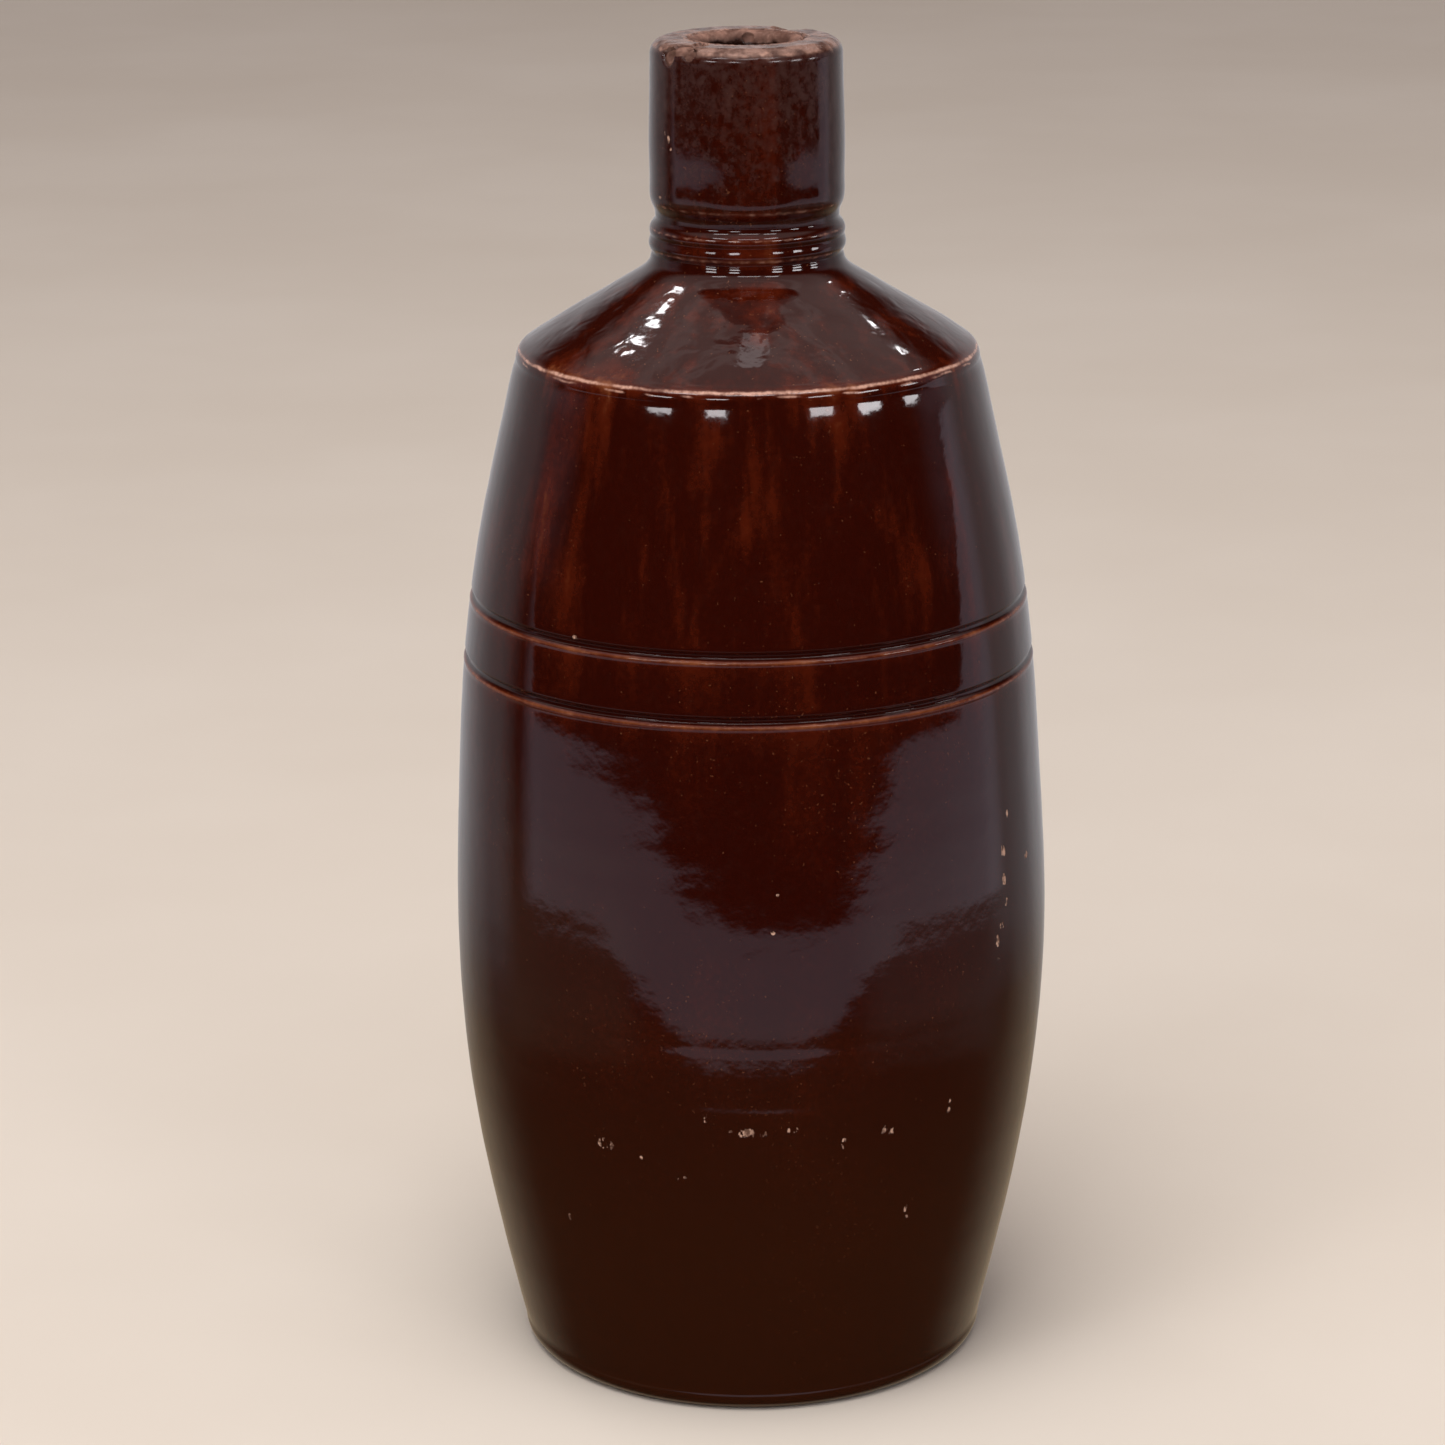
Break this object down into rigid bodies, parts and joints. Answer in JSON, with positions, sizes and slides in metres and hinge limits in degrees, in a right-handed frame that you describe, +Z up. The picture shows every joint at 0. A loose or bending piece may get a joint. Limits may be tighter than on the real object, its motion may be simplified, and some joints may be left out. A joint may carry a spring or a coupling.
{
  "type": "stoneware bottle",
  "caption": "Barrel-shaped brown glazed stoneware bottle with a sharp shoulder, low conical top, thick cylindrical lip and narrow bore for a cork.",
  "frame": {"origin": "centre of the flat foot, on the surface it stands on", "axes": "+Z up along the axis of revolution, out of the mouth"},
  "size_m": [0.103, 0.103, 0.231],
  "materials": {
    "stoneware_clay": "bare fired stoneware, matte, pinkish tan",
    "brown_glaze": "glossy dark reddish-brown glaze, orange-brown where thin",
    "collar_glaze": "brown glaze with a greyish matte bloom",
    "liner_glaze": "thin dark brown glaze inside"
  },
  "bodies": {
    "root": {"floor_disc": "stoneware_clay", "lower_wall": "stoneware_clay", "upper_wall": "stoneware_clay", "shoulder": "stoneware_clay", "neck": "stoneware_clay", "lip_collar": "stoneware_clay", "glaze_lower_wall": "brown_glaze", "glaze_upper_wall": "brown_glaze", "glaze_shoulder": "brown_glaze", "glaze_neck": "brown_glaze", "glaze_collar": "collar_glaze", "glaze_liner": "liner_glaze"}
  },
  "joints": []
}
